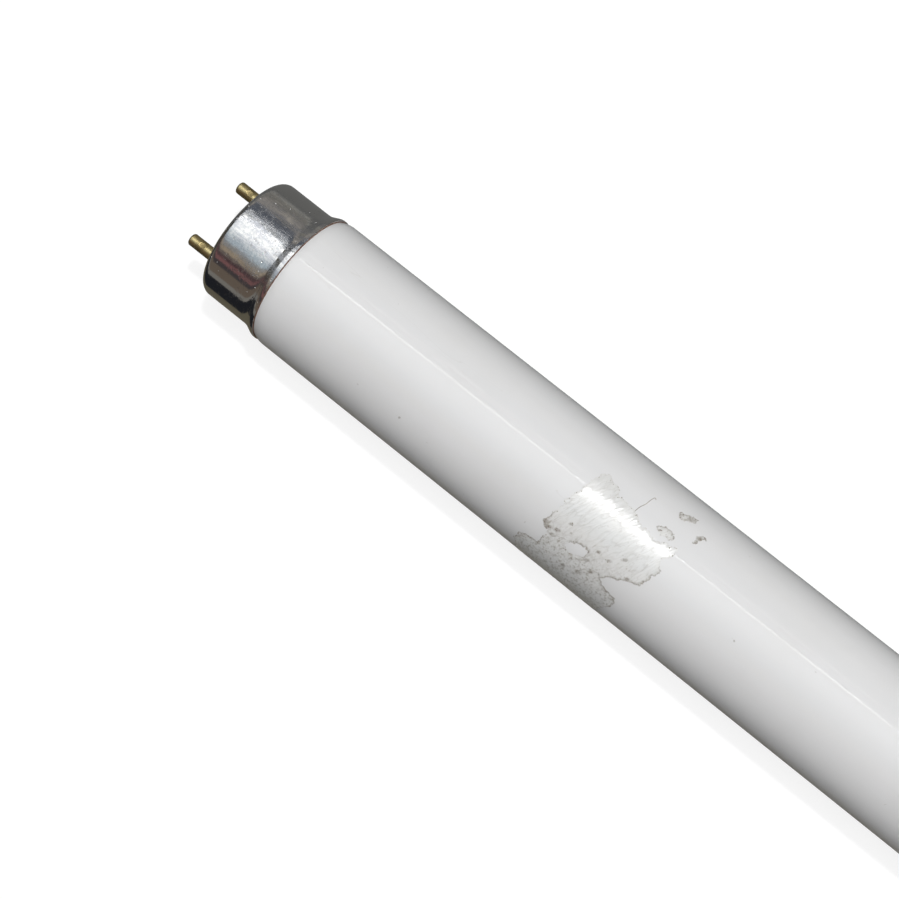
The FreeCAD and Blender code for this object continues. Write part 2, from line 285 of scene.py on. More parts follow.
def new_path(name, points):
    """Mesh of points joined in a row."""
    edges = [(index, index + 1) for index in range(len(points) - 1)]
    return new_mesh(name, points, (), edges)


# Node trees

def set_inputs(tree, node, values):
    """Set inputs of a node, or link them where the value is another node's output."""
    for name, value in values.items():
        if isinstance(value, bpy.types.NodeSocket):
            tree.links.new(value, node.inputs[name])
        else:
            node.inputs[name].default_value = value


def add(tree, kind, inputs=None, **settings):
    """Add a node, set its options, and set or link its inputs."""
    node = tree.nodes.new(kind)
    for name, value in settings.items():
        setattr(node, name, value)
    set_inputs(tree, node, inputs or {})
    return node


def math_node(tree, operation, first, second=0.0, clamp=False):
    node = add(tree, "ShaderNodeMath", {0: first, 1: second}, operation=operation, use_clamp=clamp)
    return node.outputs[0]


def product(tree, first, second):
    return math_node(tree, "MULTIPLY", first, second)


def larger(tree, first, second):
    return math_node(tree, "MAXIMUM", first, second)


def rescale(tree, value, low, high, to_low=0.0, to_high=1.0):
    """Map a value from one range to another, held inside it."""
    node = add(tree, "ShaderNodeMapRange", {
        "Value": value, "From Min": low, "From Max": high, "To Min": to_low, "To Max": to_high,
    })
    return node.outputs[0]


def mix_colour(tree, share, first, second):
    """Colour between two others, each a plain colour or a node's output."""
    inputs = {MIX_SHARE: share}
    for index, colour in ((MIX_FIRST, first), (MIX_SECOND, second)):
        inputs[index] = colour if isinstance(colour, bpy.types.NodeSocket) else (*colour, 1.0)
    return add(tree, "ShaderNodeMix", inputs, data_type="RGBA").outputs[MIX_RESULT]


def tint(tree, colour, where, share, towards):
    """Take a colour towards another by a share, where a mask says so."""
    return mix_colour(tree, product(tree, where, share), colour, towards)


def object_vector(tree, scale=(1.0, 1.0, 1.0), turn=(0.0, 0.0, 0.0)):
    """Object coordinates, turned and stretched."""
    place = add(tree, "ShaderNodeTexCoord").outputs["Object"]
    mapping = add(tree, "ShaderNodeMapping", {"Vector": place, "Rotation": turn, "Scale": scale})
    return mapping.outputs[0]


def mesh_layer(tree, name, output="Fac"):
    """What the mesh carries at each of its points under a name."""
    return add(tree, "ShaderNodeAttribute", attribute_name=name).outputs[output]


def fractal(tree, vector, scale, detail=3.0, roughness=0.55):
    node = add(tree, "ShaderNodeTexNoise", {
        "Vector": vector, "Scale": scale, "Detail": detail, "Roughness": roughness,
    })
    return node.outputs["Fac"]


def new_group(name, inputs):
    """Shader node group with one mask as its result. Returns the group and its input sockets."""
    group = bpy.data.node_groups.new(name, "ShaderNodeTree")
    for label, kind, value in inputs:
        socket = group.interface.new_socket(label, in_out="INPUT", socket_type=kind)
        if value is not None:
            socket.default_value = value
    group.interface.new_socket("Mask", in_out="OUTPUT", socket_type="NodeSocketFloat")
    return group, add(group, "NodeGroupInput").outputs


def end_group(group, result):
    add(group, "NodeGroupOutput", {"Mask": result})
    return group


def make_smudge_group():
    """Soft uneven patches, such as handling marks and dull places."""
    group, given = new_group("Smudges", (
        ("Vector", "NodeSocketVector", None),
        ("Scale", "NodeSocketFloat", 60.0),
        ("Start", "NodeSocketFloat", 0.45),
        ("Full", "NodeSocketFloat", 0.7),
    ))
    broad = fractal(group, given["Vector"], given["Scale"], 4.0, 0.6)
    return end_group(group, rescale(group, broad, given["Start"], given["Full"]))


def make_scratch_group():
    """Thin broken lines: contours of a stretched pattern, kept only in places."""
    group, given = new_group("Scratches", (
        ("Vector", "NodeSocketVector", None),
        ("Scale", "NodeSocketFloat", 200.0),
        ("Width", "NodeSocketFloat", 0.012),
        ("Cover", "NodeSocketFloat", 0.5),
    ))
    lines = fractal(group, given["Vector"], given["Scale"], 2.0, 0.5)
    off_line = math_node(group, "ABSOLUTE", math_node(group, "SUBTRACT", lines, 0.5))
    line = math_node(group, "SUBTRACT", 1.0, math_node(group, "DIVIDE", off_line, given["Width"]), True)
    places = fractal(group, given["Vector"], product(group, given["Scale"], 0.31), 1.0)
    kept = math_node(group, "GREATER_THAN", places, given["Cover"])
    return end_group(group, product(group, line, kept))


def make_speck_group():
    """Small ragged dots of uneven size in some of the cells of a pattern."""
    group, given = new_group("Specks", (
        ("Vector", "NodeSocketVector", None),
        ("Scale", "NodeSocketFloat", 400.0),
        ("Size", "NodeSocketFloat", 0.25),
        ("Share", "NodeSocketFloat", 0.1),
    ))
    wobble = add(group, "ShaderNodeTexNoise", {
        "Vector": given["Vector"], "Scale": product(group, given["Scale"], 1.8), "Detail": 2.0,
    })
    centred = add(group, "ShaderNodeVectorMath", {
        0: wobble.outputs["Color"], 1: (0.5, 0.5, 0.5),
    }, operation="SUBTRACT")
    amount = math_node(group, "DIVIDE", 0.9, given["Scale"])
    shifted = add(group, "ShaderNodeVectorMath", {0: centred.outputs[0], "Scale": amount}, operation="SCALE")
    ragged = add(group, "ShaderNodeVectorMath", {0: given["Vector"], 1: shifted.outputs[0]})
    cells = add(group, "ShaderNodeTexVoronoi", {"Vector": ragged.outputs[0], "Scale": given["Scale"]})
    chance = add(group, "ShaderNodeSeparateColor", {"Color": cells.outputs["Color"]})
    picked = math_node(group, "LESS_THAN", chance.outputs[0], given["Share"])
    reach = product(group, given["Size"], chance.outputs[1])
    inside = math_node(group, "SUBTRACT", reach, cells.outputs["Distance"])
    dot = math_node(group, "MULTIPLY", inside, 12.0, True)
    return end_group(group, product(group, dot, picked))


def mask(tree, group, inputs):
    """Place a shared group in a material, with its own values."""
    return add(tree, "ShaderNodeGroup", inputs, node_tree=group).outputs["Mask"]


def empty_tree(owner):
    """Node tree of a material or world, with nothing in it."""
    owner.use_nodes = True
    owner.node_tree.nodes.clear()
    return owner.node_tree


def new_material(name):
    """Node material with one Principled shader. Returns the material, its tree and the shader."""
    material = bpy.data.materials.new(name)
    tree = empty_tree(material)
    shader = add(tree, "ShaderNodeBsdfPrincipled")
    add(tree, "ShaderNodeOutputMaterial", {"Surface": shader.outputs[0]})
    return material, tree, shader


def bump(tree, height, distance, strength=1.0):
    node = add(tree, "ShaderNodeBump", {"Height": height, "Distance": distance, "Strength": strength})
    return node.outputs["Normal"]


# Materials

def make_glass_material(groups):
    """Smooth glass over a white coat: faint drawn streaks, handling marks and tiny specks."""
    material, tree, shader = new_material("glass over white coat")
    plain = object_vector(tree)
    along = object_vector(tree, scale=(0.03, 1.0, 1.0))
    streaks = rescale(tree, fractal(tree, along, 420.0, 3.0), 0.3, 0.75)
    handled = mask(tree, groups["smudges"], {"Vector": plain, "Scale": 45.0, "Start": 0.5, "Full": 0.75})
    specks = mask(tree, groups["specks"], {"Vector": plain, "Scale": 420.0, "Size": 0.16, "Share": 0.1})
    dashes = mask(tree, groups["specks"], {
        "Vector": object_vector(tree, scale=(0.35, 1.0, 1.0)), "Scale": 520.0, "Size": 0.16, "Share": 0.05,
    })
    lines = mask(tree, groups["scratches"], {
        "Vector": object_vector(tree, scale=(0.08, 1.0, 1.0)), "Scale": 260.0, "Width": 0.004, "Cover": 0.62,
    })
    pale = product(tree, streaks, 0.5)
    coat = mix_colour(tree, pale, (0.81, 0.811, 0.814), (0.79, 0.787, 0.782))
    coat = tint(tree, coat, handled, 0.3, (0.74, 0.735, 0.72))
    coat = tint(tree, coat, lines, 0.25, (0.62, 0.6, 0.57))
    soil = larger(tree, specks, dashes)
    coat = tint(tree, coat, soil, 0.55, (0.33, 0.3, 0.26))
    gloss = rescale(tree, math_node(tree, "ADD", handled, lines), 0.0, 1.5, 0.03, 0.1)
    set_inputs(tree, shader, {
        "Base Color": coat, "Roughness": gloss, "IOR": 1.5,
        "Normal": bump(tree, streaks, 0.001 * MM, 0.3),
    })
    return material


def make_cap_material(groups):
    """Bright plating, worn dull and scratched on the side that is handled."""
    material, tree, shader = new_material("worn bright plating")
    plain = object_vector(tree)
    around = object_vector(tree, scale=(0.25, 1.0, 1.0))
    haze = mask(tree, groups["smudges"], {"Vector": plain, "Scale": 260.0, "Start": 0.42, "Full": 0.66})
    blotches = mask(tree, groups["smudges"], {"Vector": around, "Scale": 800.0, "Start": 0.4, "Full": 0.62})
    fine = mask(tree, groups["scratches"], {
        "Vector": object_vector(tree, scale=(1.0, 0.2, 0.2), turn=(0.0, 0.0, 0.5)),
        "Scale": 900.0, "Width": 0.03, "Cover": 0.5,
    })
    deep = mask(tree, groups["scratches"], {
        "Vector": object_vector(tree, scale=(0.2, 1.0, 1.0), turn=(0.3, 0.2, 0.0)),
        "Scale": 500.0, "Width": 0.02, "Cover": 0.56,
    })
    grain = mask(tree, groups["smudges"], {"Vector": plain, "Scale": 1900.0, "Start": 0.46, "Full": 0.6})
    dents = mask(tree, groups["specks"], {"Vector": plain, "Scale": 1500.0, "Size": 0.5, "Share": 0.08})
    dust = mask(tree, groups["specks"], {"Vector": plain, "Scale": 2000.0, "Size": 0.4, "Share": 0.08})
    upward = add(tree, "ShaderNodeSeparateXYZ", {0: plain}).outputs["Z"]
    handled = rescale(tree, upward, *CAP_HANDLED)
    ripple = fractal(tree, around, 1400.0, 3.0, 0.6)
    dull = larger(tree, product(tree, haze, 0.6), blotches)
    worn = product(tree, handled, dull)
    grainy = product(tree, handled, grain)
    dusty = product(tree, dust, rescale(tree, upward, *CAP_DUSTY))
    rough = math_node(tree, "ADD", worn, product(tree, fine, 0.4))
    gloss = rescale(tree, rough, 0.0, 1.3, 0.1, 0.38)
    metal = tint(tree, (0.7, 0.695, 0.68), haze, 0.2, (0.6, 0.585, 0.56))
    metal = tint(tree, metal, worn, 0.82, (0.41, 0.415, 0.45))
    metal = tint(tree, metal, grainy, 0.45, (0.38, 0.41, 0.44))
    metal = tint(tree, metal, dents, 0.25, (0.3, 0.28, 0.25))
    metal = mix_colour(tree, dusty, metal, (0.55, 0.54, 0.54))
    relief = product(tree, ripple, rescale(tree, worn, 0.0, 1.0, 0.1, 1.0))
    marks = larger(tree, fine, deep)
    marks = larger(tree, marks, product(tree, dents, 1.6))
    relief = math_node(tree, "SUBTRACT", relief, product(tree, marks, 0.35))
    set_inputs(tree, shader, {
        "Base Color": metal, "Metallic": math_node(tree, "SUBTRACT", 1.0, dusty), "Roughness": gloss,
        "Normal": bump(tree, relief, 0.026 * MM, 0.8),
    })
    return material


def make_pin_material(groups):
    """Dull drawn brass with darker tarnish, rubbed lines along the pin, and dirt and painted shade where it
    is crimped.
    """
    material, tree, shader = new_material("dull brass")
    plain = object_vector(tree)
    tarnish = mask(tree, groups["smudges"], {"Vector": plain, "Scale": 520.0, "Start": 0.4, "Full": 0.72})
    rubbed = mask(tree, groups["scratches"], {
        "Vector": object_vector(tree, scale=(0.1, 1.0, 1.0)), "Scale": 1800.0, "Width": 0.05, "Cover": 0.45,
    })
    brass = tint(tree, (0.46, 0.385, 0.195), tarnish, 0.75, (0.23, 0.18, 0.085))
    brass = tint(tree, brass, rubbed, 0.3, (0.66, 0.57, 0.33))
    along = math_node(tree, "ABSOLUTE", add(tree, "ShaderNodeSeparateXYZ", {0: plain}).outputs["X"])
    from_crimp = math_node(tree, "ABSOLUTE", math_node(tree, "SUBTRACT", along, CRIMP_X))
    in_crimp = rescale(tree, from_crimp, *CRIMP_DIRT_AND_SHADE, 1.0, 0.0)
    # Painted shade with dirt: the brass is darkened in and around the crimp's dent.
    brass = tint(tree, brass, in_crimp, 0.6, (0.17, 0.13, 0.06))
    gloss = rescale(tree, larger(tree, tarnish, in_crimp), 0.0, 1.0, 0.36, 0.56)
    set_inputs(tree, shader, {
        "Base Color": brass, "Metallic": 1.0, "Roughness": gloss,
        "Normal": bump(tree, rubbed, 0.008 * MM, 0.5),
    })
    return material


def make_plate_material(groups):
    """Pressed brown insulating sheet with fine layers and specks."""
    material, tree, shader = new_material("brown insulating sheet")
    plain = object_vector(tree)
    grain = fractal(tree, object_vector(tree, scale=(1.0, 0.15, 1.0)), 1500.0, 3.0)
    rubbed = mask(tree, groups["smudges"], {"Vector": plain, "Scale": 220.0, "Start": 0.45, "Full": 0.7})
    specks = mask(tree, groups["specks"], {"Vector": plain, "Scale": 1600.0, "Size": 0.45, "Share": 0.2})
    sheet = mix_colour(tree, grain, (0.17, 0.085, 0.045), (0.25, 0.135, 0.075))
    sheet = tint(tree, sheet, rubbed, 0.4, (0.3, 0.19, 0.12))
    sheet = tint(tree, sheet, specks, 0.6, (0.08, 0.045, 0.03))
    set_inputs(tree, shader, {
        "Base Color": sheet, "Roughness": rescale(tree, rubbed, 0.0, 1.0, 0.5, 0.72),
        "Normal": bump(tree, grain, 0.02 * MM, 0.5),
    })
    return material


def make_cement_material(groups):
    """Baked red-brown cement: sandy, with pale and scorched places."""
    material, tree, shader = new_material("baked cement")
    plain = object_vector(tree)
    sand = fractal(tree, plain, 2600.0, 4.0, 0.7)
    scorched = mask(tree, groups["smudges"], {"Vector": plain, "Scale": 300.0, "Start": 0.45, "Full": 0.68})
    grains = mask(tree, groups["specks"], {"Vector": plain, "Scale": 2400.0, "Size": 0.5, "Share": 0.25})
    cement = mix_colour(tree, sand, (0.13, 0.075, 0.055), (0.22, 0.13, 0.095))
    cement = tint(tree, cement, scorched, 0.55, (0.08, 0.045, 0.033))
    cement = tint(tree, cement, grains, 0.4, (0.36, 0.25, 0.19))
    set_inputs(tree, shader, {
        "Base Color": cement, "Roughness": rescale(tree, sand, 0.3, 0.7, 0.7, 0.95),
        "Normal": bump(tree, sand, 0.05 * MM, 0.7),
    })
    return material


def make_wire_material(groups):
    """Drawn lead wire, greyed, with lines along it."""
    material, tree, shader = new_material("drawn lead wire")
    drawn = mask(tree, groups["scratches"], {
        "Vector": object_vector(tree, scale=(0.05, 1.0, 1.0)), "Scale": 3000.0, "Width": 0.06, "Cover": 0.4,
    })
    greyed = mask(tree, groups["smudges"], {
        "Vector": object_vector(tree), "Scale": 700.0, "Start": 0.4, "Full": 0.7,
    })
    wire = tint(tree, (0.6, 0.58, 0.55), greyed, 0.6, (0.33, 0.31, 0.29))
    set_inputs(tree, shader, {
        "Base Color": wire, "Metallic": 1.0, "Roughness": rescale(tree, greyed, 0.0, 1.0, 0.25, 0.45),
        "Normal": bump(tree, drawn, 0.004 * MM, 0.5),
    })
    return material


def make_film_material(groups):
    """Torn clear film that looks like the glass under it, with soil at its edges and in its creases, painted
    shade along its wrinkles, and dark marks that grow stronger towards the bottom as dirt and painted shade.
    """
    material, tree, shader = new_material("torn clear film")
    plain = object_vector(tree)
    torn = mesh_layer(tree, "torn_edge")
    crease = mesh_layer(tree, "crease")
    patchy = mask(tree, groups["smudges"], {"Vector": plain, "Scale": 330.0, "Start": 0.36, "Full": 0.62})
    soil = mesh_layer(tree, "soil")
    flat = mesh_layer(tree, "flat_place", "Vector")
    slanted = add(tree, "ShaderNodeMapping", {
        "Vector": flat, "Rotation": (0.0, 0.0, -STROKE_LEAN), "Scale": (1.0, STROKE_STRETCH, 1.0),
    }, vector_type="TEXTURE").outputs[0]
    upward = add(tree, "ShaderNodeSeparateXYZ", {0: plain}).outputs["Z"]
    # Painted shade with dirt: the film's dark marks are faint at the top and full lower down.
    low = rescale(tree, upward, *FILM_DIRT_AND_SHADE, 0.3, 1.0)
    underside = rescale(tree, upward, *FILM_GRITTY)
    grit = fractal(tree, plain, 2100.0, 4.0, 0.65)
    flecks = mask(tree, groups["specks"], {"Vector": slanted, "Scale": 2600.0, "Size": 0.5, "Share": 0.16})
    spots = mask(tree, groups["specks"], {"Vector": plain, "Scale": 1700.0, "Size": 0.45, "Share": 0.05})
    hair = mask(tree, groups["scratches"], {"Vector": slanted, "Scale": 1300.0, "Width": 0.03, "Cover": 0.47})
    strokes = fractal(tree, slanted, 2600.0, 3.0, 0.6)
    greyed = product(tree, patchy, 0.5)
    film = mix_colour(tree, greyed, (0.815, 0.818, 0.81), (0.775, 0.77, 0.75))
    # Painted shade: the film is darkened along its wrinkles.
    film = tint(tree, film, crease, 0.22, (0.5, 0.48, 0.44))
    film = tint(tree, film, hair, 0.3, (0.45, 0.43, 0.39))
    gritty = product(tree, rescale(tree, grit, 0.52, 0.62), underside)
    film = tint(tree, film, gritty, 0.75, (0.43, 0.41, 0.365))
    dirt = product(tree, larger(tree, flecks, spots), low)
    film = tint(tree, film, dirt, 0.6, (0.4, 0.37, 0.32))
    broken = rescale(tree, fractal(tree, plain, 3200.0, 3.0, 0.7), 0.44, 0.58)
    edge_dirt = mask(tree, groups["smudges"], {"Vector": plain, "Scale": 420.0, "Start": 0.42, "Full": 0.6})
    patches = rescale(tree, edge_dirt, 0.0, 1.0, 0.12, 1.0)
    gaps = rescale(tree, broken, 0.0, 1.0, 0.45, 1.0)
    # The soiled edge also grows darker towards the bottom, as painted shade.
    along_edge = math_node(tree, "POWER", torn, 1.6)
    for cover in (patches, gaps, low):
        along_edge = product(tree, along_edge, cover)
    spotted = product(tree, soil, rescale(tree, broken, 0.0, 1.0, 0.55, 1.0))
    soiled = larger(tree, along_edge, spotted)
    film = tint(tree, film, soiled, 0.9, (0.2, 0.165, 0.125))
    relief = math_node(tree, "ADD", strokes, product(tree, grit, underside))
    across = add(tree, "ShaderNodeTangent", direction_type="RADIAL", axis="X").outputs[0]
    set_inputs(tree, shader, {
        "Base Color": film,
        "Roughness": larger(tree, rescale(tree, patchy, 0.0, 1.0, 0.28, 0.38), torn),
        "Specular IOR Level": 1.0, "Anisotropic": 0.9, "Anisotropic Rotation": 0.25, "Tangent": across,
        "Coat Weight": rescale(tree, torn, 0.0, 0.6, 0.4, 0.0), "Coat Roughness": 0.22,
        "Normal": bump(tree, relief, 0.06 * MM, 1.0),
    })
    return material


def make_grime_material(groups):
    """Crumbs of old glue with dirt in them."""
    material, tree, shader = new_material("glue crumbs")
    plain = object_vector(tree)
    lumps = fractal(tree, plain, 2500.0, 3.0)
    dark = mask(tree, groups["smudges"], {"Vector": plain, "Scale": 500.0, "Start": 0.4, "Full": 0.65})
    glue = mix_colour(tree, lumps, (0.3, 0.255, 0.2), (0.48, 0.44, 0.38))
    glue = tint(tree, glue, dark, 0.7, (0.13, 0.1, 0.075))
    set_inputs(tree, shader, {
        "Base Color": glue, "Roughness": rescale(tree, lumps, 0.2, 0.8, 0.45, 0.8),
        "Normal": bump(tree, lumps, 0.02 * MM, 0.6),
    })
    return material


# Geometry Nodes trees

def new_tree(name, inputs):
    """Geometry Nodes tree with a geometry going in and out. Returns the tree and its input sockets."""
    tree = bpy.data.node_groups.new(name, "GeometryNodeTree")
    tree.interface.new_socket("Geometry", in_out="INPUT", socket_type="NodeSocketGeometry")
    for label, kind in inputs:
        tree.interface.new_socket(label, in_out="INPUT", socket_type=kind)
    tree.interface.new_socket("Geometry", in_out="OUTPUT", socket_type="NodeSocketGeometry")
    return tree, add(tree, "NodeGroupInput").outputs


def named_layer(tree, name):
    """Number that the mesh carries at each of its points."""
    return add(tree, "GeometryNodeInputNamedAttribute", {"Name": name}, data_type="FLOAT").outputs[0]


def random_number(tree, low, high, seed=0):
    """A random number for each instance."""
    inputs = {2: low, 3: high, "Seed": seed}
    return add(tree, "FunctionNodeRandomValue", inputs, data_type="FLOAT").outputs[1]


def end_tree(tree, geometry, material):
    """Realize, smooth and dress the result."""
    real = add(tree, "GeometryNodeRealizeInstances", {0: geometry})
    smooth = add(tree, "GeometryNodeSetShadeSmooth", {"Geometry": real.outputs[0]})
    dressed = add(tree, "GeometryNodeSetMaterial", {"Geometry": smooth.outputs[0], "Material": material})
    add(tree, "NodeGroupOutput", {"Geometry": dressed.outputs[0]})
    return tree


def make_lathe_tree():
    """Turns an outline of (X, radius) corners round X, with each corner rounded by its own bend."""
    tree, given = new_tree("Lathe", (
        ("Facets", "NodeSocketInt"), ("Bend steps", "NodeSocketInt"), ("Material", "NodeSocketMaterial"),
    ))
    outline = add(tree, "GeometryNodeMeshToCurve", {"Mesh": given["Geometry"]}).outputs[0]
    bend = named_layer(tree, "bend")
    rounded = add(tree, "GeometryNodeFilletCurve", {
        "Curve": outline, "Count": given["Bend steps"], "Radius": bend, "Limit Radius": True,
    }, mode="POLY").outputs[0]
    count = add(tree, "GeometryNodeAttributeDomainSize", {"Geometry": rounded}, component="CURVE")
    columns = math_node(tree, "ADD", given["Facets"], 1.0)
    grid = add(tree, "GeometryNodeMeshGrid", {
        "Vertices X": count.outputs["Point Count"], "Vertices Y": columns,
    })
    index = add(tree, "GeometryNodeInputIndex").outputs[0]
    row = math_node(tree, "FLOOR", math_node(tree, "DIVIDE", math_node(tree, "ADD", index, 0.5), columns))
    column = math_node(tree, "SUBTRACT", index, product(tree, row, columns))
    turn = math_node(tree, "DIVIDE", product(tree, column, 2 * math.pi), given["Facets"])
    place = add(tree, "GeometryNodeInputPosition").outputs[0]
    corner = add(tree, "GeometryNodeSampleIndex", {
        "Geometry": rounded, "Value": place, "Index": row,
    }, data_type="FLOAT_VECTOR", domain="POINT")
    parts = add(tree, "ShaderNodeSeparateXYZ", {0: corner.outputs[0]}).outputs
    turned = add(tree, "ShaderNodeCombineXYZ", {
        "X": parts["X"],
        "Y": product(tree, parts["Y"], math_node(tree, "SINE", turn)),
        "Z": product(tree, parts["Y"], math_node(tree, "COSINE", turn)),
    })
    skin = add(tree, "GeometryNodeSetPosition", {
        "Geometry": grid.outputs["Mesh"], "Position": turned.outputs[0],
    })
    closed = add(tree, "GeometryNodeMergeByDistance", {"Geometry": skin.outputs[0], "Distance": MERGE_GAP})
    return end_tree(tree, closed.outputs[0], given["Material"])


def make_crumb_tree():
    """Scatters flat crumbs over a film, most of them along its torn edge."""
    tree, given = new_tree("Crumbs", (
        ("Crumbs per area", "NodeSocketFloat"),
        ("Smallest", "NodeSocketFloat"), ("Largest", "NodeSocketFloat"),
        ("Seed", "NodeSocketInt"), ("Material", "NodeSocketMaterial"),
    ))
    torn = named_layer(tree, "torn_edge")
    place = add(tree, "GeometryNodeInputPosition").outputs[0]
    patches = rescale(tree, fractal(tree, place, 260.0, 2.0), 0.42, 0.62)
    soil = named_layer(tree, "soil")
    edge = product(tree, math_node(tree, "POWER", torn, 1.5), patches)
    edge = larger(tree, edge, product(tree, soil, 0.7))
    density = product(tree, given["Crumbs per area"], edge)
    spots = add(tree, "GeometryNodeDistributePointsOnFaces", {
        "Mesh": given["Geometry"], "Density": density, "Seed": given["Seed"],
    }, distribute_method="RANDOM")
    crumb = add(tree, "GeometryNodeMeshIcoSphere", {"Radius": 1.0, "Subdivisions": 1})
    length = random_number(tree, given["Smallest"], given["Largest"])
    width = random_number(tree, *CRUMB_WIDTHS, CRUMB_WIDTH_SEED)
    spread = add(tree, "ShaderNodeCombineXYZ", {
        "X": length,
        "Y": product(tree, length, width),
        "Z": product(tree, length, CRUMB_HEIGHT),
    })
    laid = add(tree, "GeometryNodeInstanceOnPoints", {
        "Points": spots.outputs["Points"], "Instance": crumb.outputs["Mesh"],
        "Rotation": spots.outputs["Rotation"], "Scale": spread.outputs[0],
    })
    twist = random_number(tree, 0.0, 2 * math.pi, CRUMB_TURN_SEED)
    turned = add(tree, "GeometryNodeRotateInstances", {
        "Instances": laid.outputs[0],
        "Rotation": add(tree, "ShaderNodeCombineXYZ", {"Z": twist}).outputs[0],
    })
    return end_tree(tree, turned.outputs[0], given["Material"])


def make_thread_tree():
    """Lays a thin round thread along a path."""
    tree, given = new_tree("Thread", (("Radius", "NodeSocketFloat"), ("Material", "NodeSocketMaterial")))
    path = add(tree, "GeometryNodeMeshToCurve", {"Mesh": given["Geometry"]})
    smooth = add(tree, "GeometryNodeCurveSplineType", {"Curve": path.outputs[0]}, spline_type="CATMULL_ROM")
    section = add(tree, "GeometryNodeCurvePrimitiveCircle", {
        "Resolution": THREAD_FACETS, "Radius": given["Radius"],
    })
    round_thread = add(tree, "GeometryNodeCurveToMesh", {
        "Curve": smooth.outputs[0], "Profile Curve": section.outputs[0], "Fill Caps": True,
    })
    return end_tree(tree, round_thread.outputs[0], given["Material"])


def run_tree(name, source, tree, values):
    """Run a tree on a mesh and keep the result as a plain mesh piece."""
    maker = add_piece(f"{name}_maker", source)
    modifier = maker.modifiers.new(name, "NODES")
    modifier.node_group = tree
    for item in tree.interface.items_tree:
        if item.in_out == "INPUT" and item.name in values:
            modifier[item.identifier] = values[item.name]
    depsgraph = bpy.context.evaluated_depsgraph_get()
    mesh = bpy.data.meshes.new_from_object(maker.evaluated_get(depsgraph), depsgraph=depsgraph)
    mesh.name = name
    mesh.materials.clear()
    mesh.materials.append(values["Material"])
    mesh.polygons.foreach_set("material_index", [0] * len(mesh.polygons))
    maker.modifiers.remove(modifier)
    bpy.data.objects.remove(maker, do_unlink=True)
    return add_piece(name, mesh)


# Pieces

def make_glass(material):
    """Glass envelope: barrel, shoulders and necks, with a stem's funnel in each end."""
    face_x = -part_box("left_cap_shell")[0].x
    half = (
        (NECK_SETBACK + FUNNEL_DEPTH - EXHAUST_LENGTH, 0.0, 0.0),
        (NECK_SETBACK + FUNNEL_DEPTH - EXHAUST_LENGTH, EXHAUST_R, EXHAUST_BEND),
        (NECK_SETBACK + FUNNEL_DEPTH, EXHAUST_R, 0.0),
        (NECK_SETBACK + FUNNEL_DEPTH, PRESS_R, 0.0),
        (NECK_SETBACK, MOUTH_R, NECK_EDGE),
        (NECK_SETBACK, NECK_R, NECK_EDGE),
        (SHOULDER_START, NECK_R, NECK_BEND),
        (SHOULDER_END, GLASS_R, SHOULDER_BEND),
    ) + tuple((guard, GLASS_R, 0.0) for guard in BARREL_GUARDS)
    left = [(depth - face_x, radius, bend) for depth, radius, bend in half]
    right = [(-x, radius, bend) for x, radius, bend in reversed(left)]
    corners = left + right
    outline = new_path("glass_outline", [(x, radius, 0.0) for x, radius, _ in corners])
    bends = outline.attributes.new("bend", "FLOAT", "POINT")
    for index, corner in enumerate(corners):
        bends.data[index].value = corner[2]
    return run_tree("glass_envelope", outline, make_lathe_tree(), {
        "Facets": GLASS_FACETS, "Bend steps": GLASS_BEND_STEPS, "Material": material,
    })


def camera_axes():
    """Right, down and forward of the camera, so that the tube falls to the right as photographed."""
    forward = (CAMERA_AIM - CAMERA_PLACE).normalized()
    along = Vector((1.0, 0.0, 0.0))
    along = (along - forward * along.dot(forward)).normalized()
    across = forward.cross(along)
    right = along * math.cos(TUBE_FALL) - across * math.sin(TUBE_FALL)
    down = along * math.sin(TUBE_FALL) + across * math.cos(TUBE_FALL)
    return right, down, forward


def on_glass(pixel):
    """Where a point of the photograph lies on the glass: (along X, round the glass from the top)."""
    right, down, forward = camera_axes()
    middle = PHOTO_SIDE / 2
    ray = forward * FOCAL_PIXELS + right * (pixel[0] - middle) + down * (pixel[1] - middle)
    start_yz = CAMERA_PLACE.yz
    ray_yz = ray.yz
    steep = ray_yz.dot(ray_yz)
    reach = -start_yz.dot(ray_yz) / steep
    miss = (start_yz + ray_yz * reach).length - GLASS_R
    if miss < 0:
        inside = start_yz.dot(ray_yz) ** 2 - steep * (start_yz.dot(start_yz) - GLASS_R ** 2)
        reach -= math.sqrt(inside) / steep
    point = CAMERA_PLACE + ray * reach
    angle = math.atan2(point.y, point.z)
    past_edge = max(miss, 0.0) * UNDERSIDE_STRETCH
    return Vector((point.x, GLASS_R * angle + math.copysign(past_edge, angle)))


def gap_to_run(start, end, along, around):
    """Distance from points to the straight run between two places."""
    step = end - start
    share = ((along - start.x) * step.x + (around - start.y) * step.y) / step.length_squared
    share = np.clip(share, 0.0, 1.0)
    return np.hypot(along - start.x - share * step.x, around - start.y - share * step.y)


def gap_to_line(pixels, along, around):
    """Distance from points to a line of places in the photograph."""
    places = [on_glass(pixel) for pixel in pixels]
    gaps = [gap_to_run(start, end, along, around) for start, end in zip(places, places[1:])]
    return np.minimum.reduce(gaps)


def depth_inside(pixels, along, around):
    """Distance from points to an outline in the photograph, plus inside and minus outside."""
    corners = [on_glass(pixel) for pixel in pixels]
    inside = np.zeros(along.shape, bool)
    for start, end in zip(corners, corners[1:] + corners[:1]):
        crosses = (start.y > around) != (end.y > around)
        meets = start.x + (around - start.y) * (end.x - start.x) / ((end.y - start.y) or TINY)
        inside ^= crosses & (along < meets)
    nearest = gap_to_line(pixels + pixels[:1], along, around)
    return np.where(inside, nearest, -nearest)


